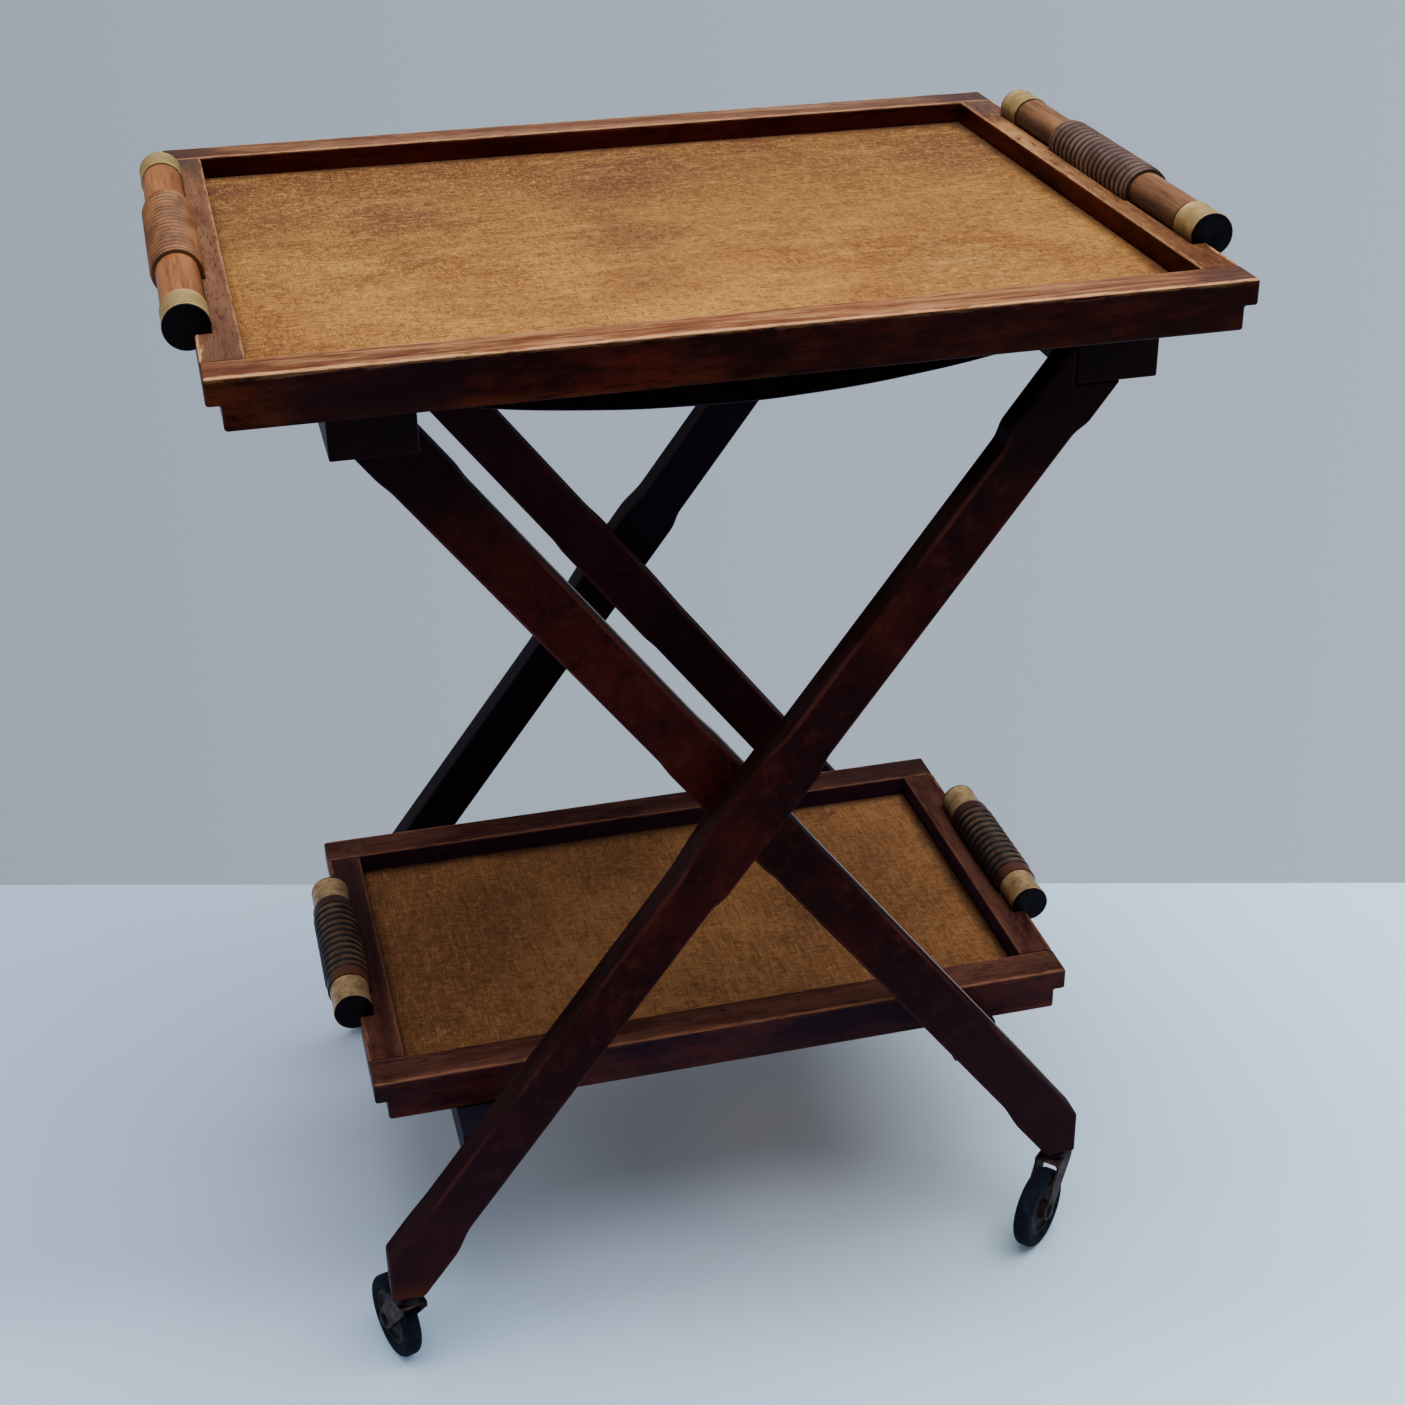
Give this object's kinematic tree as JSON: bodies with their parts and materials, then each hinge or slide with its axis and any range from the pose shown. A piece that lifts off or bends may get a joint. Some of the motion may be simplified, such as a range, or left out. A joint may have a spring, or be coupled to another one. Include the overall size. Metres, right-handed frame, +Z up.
{
  "type": "folding dessert table",
  "caption": "Folding trolley table with a crossed-leg frame on swivel casters, and two framed trays with ribbed bar handles, the lower one smaller.",
  "frame": {"origin": "on the floor, under the middle of the table", "axes": "+X along the trays, -Y towards the front legs that rise to the right, +Z up"},
  "size_m": [0.638, 0.47, 0.7596],
  "materials": {
    "tray_wood": "satin lacquered dark walnut, worn at the corners",
    "frame_wood": "satin lacquered, very dark red-brown",
    "board_wood": "plain unlacquered board",
    "handle_wood": "satin lacquered honey-brown dowel",
    "grip_wood": "turned ribs, satin",
    "straw": "plain weave straw cloth",
    "brass": "dull, aged",
    "steel": "dull plated",
    "webbing": "woven webbing, dark",
    "rubber": "matte",
    "hub": "dull, aged"
  },
  "bodies": {
    "outer_frame": {"outer_leg_front": "frame_wood", "outer_leg_rear": "frame_wood", "outer_top_batten": "frame_wood", "outer_lower_batten": "frame_wood", "pivot_bolt_front": "steel", "pivot_bolt_rear": "steel", "strap_front": "webbing", "strap_rear": "webbing", "front_left_caster_stem": "steel", "rear_left_caster_stem": "steel"},
    "inner_frame": {"inner_leg_front": "frame_wood", "inner_leg_rear": "frame_wood", "inner_top_batten": "frame_wood", "inner_lower_batten": "frame_wood", "front_right_caster_stem": "steel", "rear_right_caster_stem": "steel"},
    "upper_tray": {"upper_tray_rail_front": "tray_wood", "upper_tray_rail_rear": "tray_wood", "upper_tray_rail_left": "tray_wood", "upper_tray_rail_right": "tray_wood", "upper_tray_base_board": "board_wood", "upper_tray_woven_mat": "straw", "upper_tray_left_handle_bar": "handle_wood", "upper_tray_left_handle_grip": "grip_wood", "upper_tray_left_ferrule_front": "brass", "upper_tray_left_ferrule_rear": "brass", "upper_tray_right_handle_bar": "handle_wood", "upper_tray_right_handle_grip": "grip_wood", "upper_tray_right_ferrule_front": "brass", "upper_tray_right_ferrule_rear": "brass"},
    "lower_tray": {"lower_tray_rail_front": "tray_wood", "lower_tray_rail_rear": "tray_wood", "lower_tray_rail_left": "tray_wood", "lower_tray_rail_right": "tray_wood", "lower_tray_base_board": "board_wood", "lower_tray_woven_mat": "straw", "lower_tray_left_handle_bar": "handle_wood", "lower_tray_left_handle_grip": "grip_wood", "lower_tray_left_ferrule_front": "brass", "lower_tray_left_ferrule_rear": "brass", "lower_tray_right_handle_bar": "handle_wood", "lower_tray_right_handle_grip": "grip_wood", "lower_tray_right_ferrule_front": "brass", "lower_tray_right_ferrule_rear": "brass"},
    "front_left_fork": {"front_left_caster_fork": "steel", "front_left_caster_axle": "steel"},
    "front_left_wheel": {"front_left_wheel_hub": "hub", "front_left_wheel_tyre": "rubber"},
    "front_right_fork": {"front_right_caster_fork": "steel", "front_right_caster_axle": "steel"},
    "front_right_wheel": {"front_right_wheel_hub": "hub", "front_right_wheel_tyre": "rubber"},
    "rear_left_fork": {"rear_left_caster_fork": "steel", "rear_left_caster_axle": "steel"},
    "rear_left_wheel": {"rear_left_wheel_hub": "hub", "rear_left_wheel_tyre": "rubber"},
    "rear_right_fork": {"rear_right_caster_fork": "steel", "rear_right_caster_axle": "steel"},
    "rear_right_wheel": {"rear_right_wheel_hub": "hub", "rear_right_wheel_tyre": "rubber"}
  },
  "joints": [
    {"name": "fold", "type": "hinge", "parent": "outer_frame", "child": "inner_frame", "pos_m": [0, 0, 0.4045], "axis": [0, 1, 0], "range_deg": [0, 55], "deforming": ["strap_front", "strap_rear"]},
    {"name": "upper_tray_lift", "type": "slide", "parent": "outer_frame", "child": "upper_tray", "axis": [0, 0, 1], "range_m": [0, 0.25]},
    {"name": "lower_tray_slide", "type": "slide", "parent": "outer_frame", "child": "lower_tray", "axis": [1, 0, 0], "range_m": [-0.45, 0.45]},
    {"name": "front_left_swivel", "type": "hinge", "parent": "outer_frame", "child": "front_left_fork", "pos_m": [-0.2389, -0.1968, 0.0705], "axis": [0, 0, 1], "continuous": true},
    {"name": "front_left_wheel_spin", "type": "hinge", "parent": "front_left_fork", "child": "front_left_wheel", "pos_m": [-0.24616, -0.17392, 0.0295], "axis": [-0.9532, -0.3024, 0], "continuous": true},
    {"name": "front_right_swivel", "type": "hinge", "parent": "inner_frame", "child": "front_right_fork", "pos_m": [0.2389, -0.1729, 0.0705], "axis": [0, 0, 1], "continuous": true},
    {"name": "front_right_wheel_spin", "type": "hinge", "parent": "front_right_fork", "child": "front_right_wheel", "pos_m": [0.22115, -0.18905, 0.0295], "axis": [0.673, -0.7396, 0], "continuous": true},
    {"name": "rear_left_swivel", "type": "hinge", "parent": "outer_frame", "child": "rear_left_fork", "pos_m": [-0.2389, 0.1968, 0.0705], "axis": [0, 0, 1], "continuous": true},
    {"name": "rear_left_wheel_spin", "type": "hinge", "parent": "rear_left_fork", "child": "rear_left_wheel", "pos_m": [-0.21901, 0.21022, 0.0295], "axis": [-0.5592, 0.829, 0], "continuous": true},
    {"name": "rear_right_swivel", "type": "hinge", "parent": "inner_frame", "child": "rear_right_fork", "pos_m": [0.2389, 0.1729, 0.0705], "axis": [0, 0, 1], "continuous": true},
    {"name": "rear_right_wheel_spin", "type": "hinge", "parent": "rear_right_fork", "child": "rear_right_wheel", "pos_m": [0.22079, 0.18865, 0.0295], "axis": [-0.6561, -0.7547, 0], "continuous": true}
  ],
  "couplings": [
    {"joint": "upper_tray_lift", "follows": "fold", "m_per_rad": 0.25}
  ]
}
